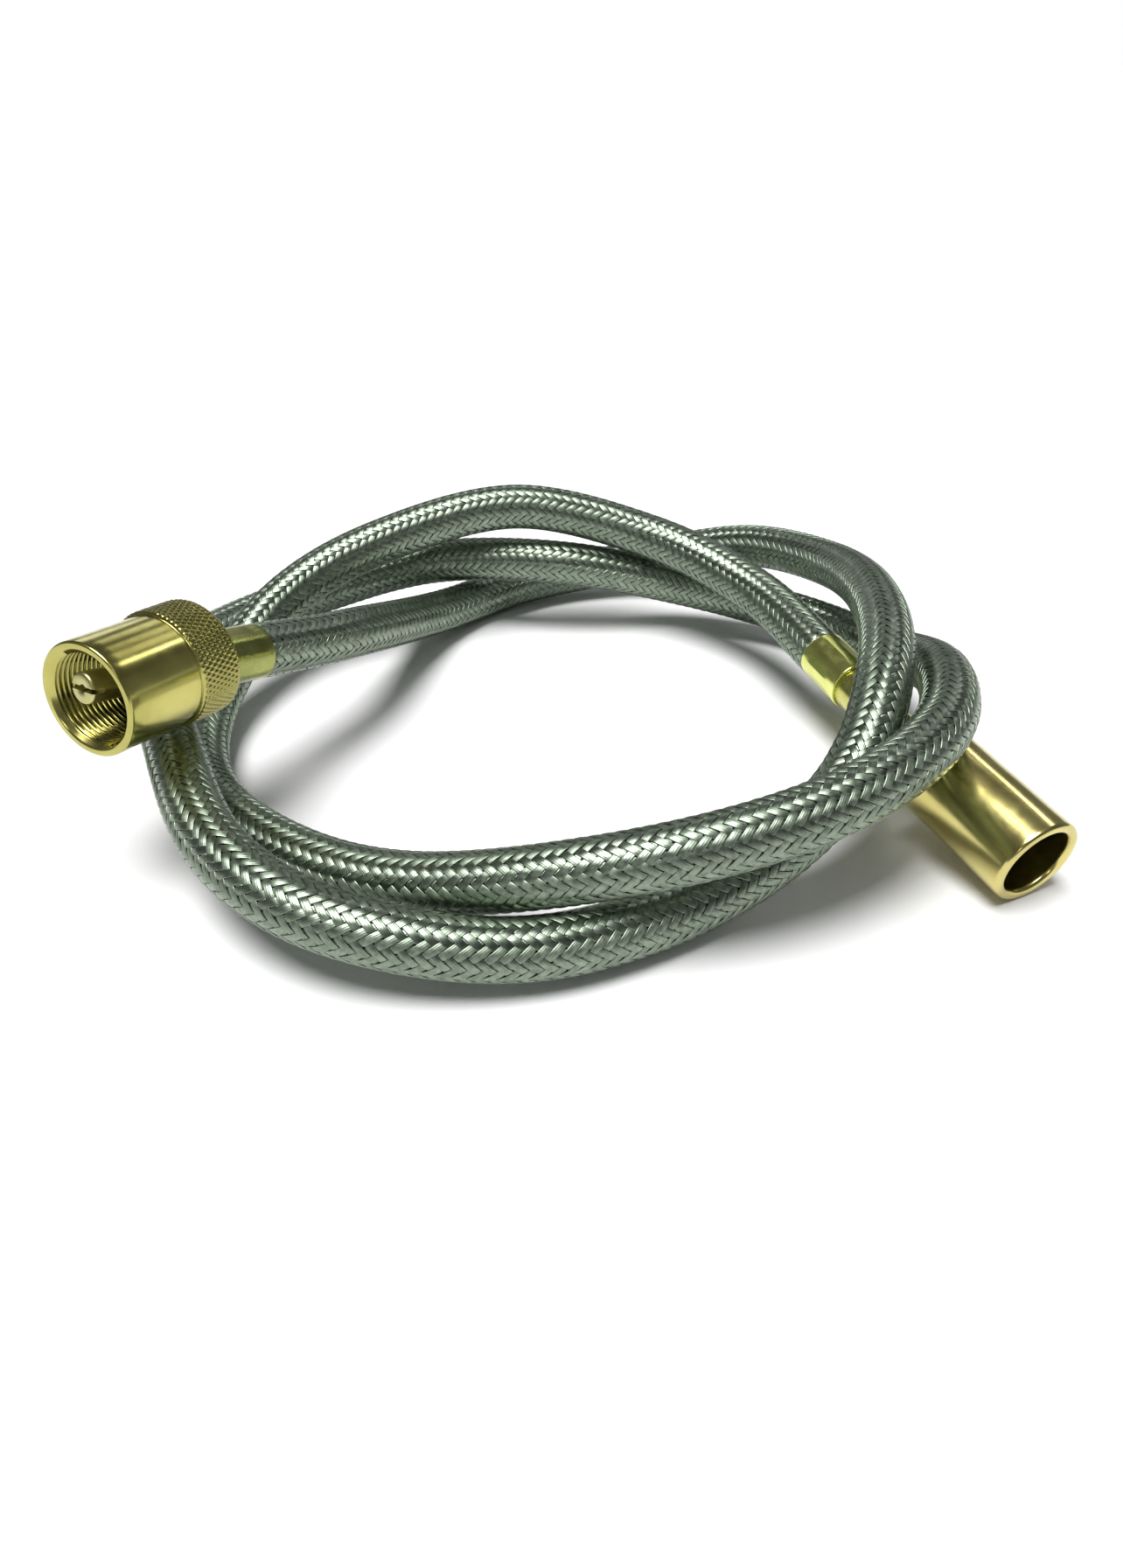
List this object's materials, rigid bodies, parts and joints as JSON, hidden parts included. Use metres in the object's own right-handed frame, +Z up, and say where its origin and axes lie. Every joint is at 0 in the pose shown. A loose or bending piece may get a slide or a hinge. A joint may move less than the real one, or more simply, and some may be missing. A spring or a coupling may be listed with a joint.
{
  "type": "braided supply line",
  "caption": "Flexible water supply hose with a stainless-steel braid, lying in a loose coil, with a swivelling brass nut on each end.",
  "frame": {"origin": "on the surface that the line lies on, midway between the two end fittings in X and Y", "axes": "+X from the threaded coupling towards the sleeve end, +Y away from the side that both nuts' mouths face, +Z up"},
  "size_m": [0.2188, 0.1995, 0.0569],
  "materials": {
    "braid": "woven stainless-steel wire, satin, slightly greenish grey",
    "liner": "matt black rubber",
    "ferrule_brass": "thin drawn brass, bright",
    "brass": "turned brass",
    "nut_brass": "turned and knurled brass, bright",
    "seal_rubber": "matt black rubber"
  },
  "bodies": {
    "line": {"hose_braid": "braid", "hose_liner": "liner", "coupling_ferrule": "ferrule_brass", "coupling_stem": "brass", "coupling_seal": "seal_rubber", "coupling_pin": "brass", "sleeve_ferrule": "ferrule_brass", "sleeve_stem": "brass", "sleeve_seal": "seal_rubber"},
    "coupling": {"coupling_nut": "nut_brass"},
    "sleeve": {"sleeve_nut": "nut_brass"}
  },
  "joints": [
    {"name": "coupling_turn", "type": "hinge", "parent": "line", "child": "coupling", "pos_m": [-0.0887, -0.0152, 0.043], "axis": [-0.4412, -0.8883, 0.1277], "continuous": true},
    {"name": "sleeve_turn", "type": "hinge", "parent": "line", "child": "sleeve", "pos_m": [0.0842, -0.0129, 0.0144], "axis": [0.4296, -0.8912, -0.1456], "continuous": true}
  ]
}
